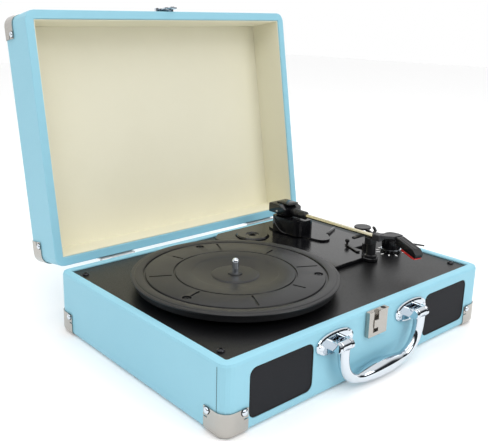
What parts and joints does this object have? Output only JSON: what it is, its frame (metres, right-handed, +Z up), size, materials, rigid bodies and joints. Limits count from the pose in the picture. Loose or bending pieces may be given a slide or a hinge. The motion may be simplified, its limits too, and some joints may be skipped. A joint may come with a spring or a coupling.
{
  "type": "portable suitcase turntable",
  "caption": "Suitcase record player standing open: covered case and hinged lid, platter, tone arm, front loudspeakers, bail handle and catch.",
  "frame": {"origin": "centre of the case's flat underside, between the four feet", "axes": "+X right along the front, +Y to the back and the lid hinges, +Z up"},
  "size_m": [0.3602, 0.3747, 0.3245],
  "materials": {
    "leatherette": "pebble-grained covering, satin",
    "lining": "matte cream lining",
    "board": "black covered board",
    "black_plastic": "moulded, half gloss",
    "chrome": "bright plated",
    "nickel": "satin nickel plated",
    "rubber": "matte",
    "mesh": "black perforated",
    "brass": "polished, pale",
    "red": "red moulding",
    "circuit": "lacquered laminate",
    "steel": "plain"
  },
  "bodies": {
    "base": {"base_shell": "leatherette", "bottom_panel": "board", "deck_board": "board", "foot_1": "rubber", "foot_2": "rubber", "foot_3": "rubber", "foot_4": "rubber", "drive_belt": "rubber", "base_corner_1": "nickel", "base_corner_2": "nickel", "base_corner_3": "nickel", "base_corner_4": "nickel", "catch_plate": "nickel", "handle_lug_left": "chrome", "handle_lug_right": "chrome", "deck_screw_1": "steel", "deck_screw_2": "steel", "deck_screw_3": "steel", "deck_screw_4": "steel", "hinge_base_left": "steel", "hinge_base_right": "steel", "drive_motor": "steel", "volume_pot": "steel", "bearing_bush": "brass", "mechanism_plate": "black_plastic", "single_adapter": "black_plastic", "socket_strip": "black_plastic", "speaker_left": "black_plastic", "speaker_right": "black_plastic", "arm_base": "black_plastic", "rest_post": "black_plastic", "speaker_grille_left": "mesh", "speaker_grille_right": "mesh", "circuit_board": "circuit"},
    "lid": {"lid_shell": "leatherette", "lid_lining": "lining", "lid_corner_1": "nickel", "lid_corner_2": "nickel", "lid_corner_3": "nickel", "lid_corner_4": "nickel", "hinge_lid_left": "steel", "hinge_lid_right": "steel", "hasp_plate": "chrome"},
    "hasp": {"hasp": "chrome"},
    "bail": {"handle_bail": "chrome"},
    "catch_slider": {"catch_slider": "nickel"},
    "platter": {"platter": "black_plastic", "spindle_shaft": "chrome"},
    "pulley": {"motor_pulley": "brass"},
    "arm_turn": {"arm_yoke": "black_plastic"},
    "arm": {"arm_block": "black_plastic", "arm_tube": "brass", "headshell": "black_plastic", "cartridge": "black_plastic", "stylus": "red"},
    "rest_clip": {"rest_clip": "black_plastic"},
    "cue_lever": {"cue_lever": "black_plastic"},
    "cue_platform": {"cue_platform": "black_plastic"},
    "speed_lever": {"speed_lever": "black_plastic"},
    "volume_knob": {"volume_knob": "black_plastic"}
  },
  "joints": [
    {"name": "lid_hinge", "type": "hinge", "parent": "base", "child": "lid", "pos_m": [0, 0.1316, 0.0604], "axis": [1, 0, 0], "range_deg": [0, 99.2]},
    {"name": "hasp_hinge", "type": "hinge", "parent": "lid", "child": "hasp", "pos_m": [0, 0.19027, 0.31884], "axis": [-1, 0, 0], "range_deg": [0, 150]},
    {"name": "handle_swing", "type": "hinge", "parent": "base", "child": "bail", "pos_m": [0, -0.14, 0.046], "axis": [-1, 0, 0], "range_deg": [0, 110]},
    {"name": "catch_slide", "type": "slide", "parent": "base", "child": "catch_slider", "axis": [0, 0, -1], "range_m": [0, 0.004], "stiffness_N_per_m": 300},
    {"name": "platter_spin", "type": "hinge", "parent": "base", "child": "platter", "pos_m": [-0.061, -0.0085, 0.075], "axis": [0, 0, -1], "continuous": true},
    {"name": "pulley_spin", "type": "hinge", "parent": "base", "child": "pulley", "pos_m": [0.0075, -0.0085, 0.067], "axis": [0, 0, -1], "continuous": true},
    {"name": "arm_swing", "type": "hinge", "parent": "base", "child": "arm_turn", "pos_m": [0.097, 0.08, 0.086], "axis": [0, 0, -1], "range_deg": [0, 44]},
    {"name": "arm_lift", "type": "hinge", "parent": "arm_turn", "child": "arm", "pos_m": [0.097, 0.08, 0.09], "axis": [-1, 0, 0], "range_deg": [0, 4]},
    {"name": "clip_hinge", "type": "hinge", "parent": "base", "child": "rest_clip", "pos_m": [0.1011, -0.046, 0.0896], "axis": [0, -1, 0], "range_deg": [0, 50]},
    {"name": "cue_press", "type": "hinge", "parent": "base", "child": "cue_lever", "pos_m": [0.1059, -0.046, 0.087], "axis": [-1, 0, 0], "range_deg": [0, 12]},
    {"name": "cue_platform_slide", "type": "slide", "parent": "base", "child": "cue_platform", "axis": [0, 0, -1], "range_m": [0, 0.004]},
    {"name": "speed_select", "type": "hinge", "parent": "base", "child": "speed_lever", "pos_m": [0.1015, -0.027, 0.066], "axis": [0, 0, 1], "range_deg": [-12, 12]},
    {"name": "volume_turn", "type": "hinge", "parent": "base", "child": "volume_knob", "pos_m": [0.143, -0.041, 0.071], "axis": [0, 0, -1], "range_deg": [0, 300]}
  ],
  "couplings": [
    {"joint": "pulley_spin", "follows": "platter_spin", "ratio": 11},
    {"joint": "cue_platform_slide", "follows": "cue_press", "m_per_rad": 0.019099}
  ]
}
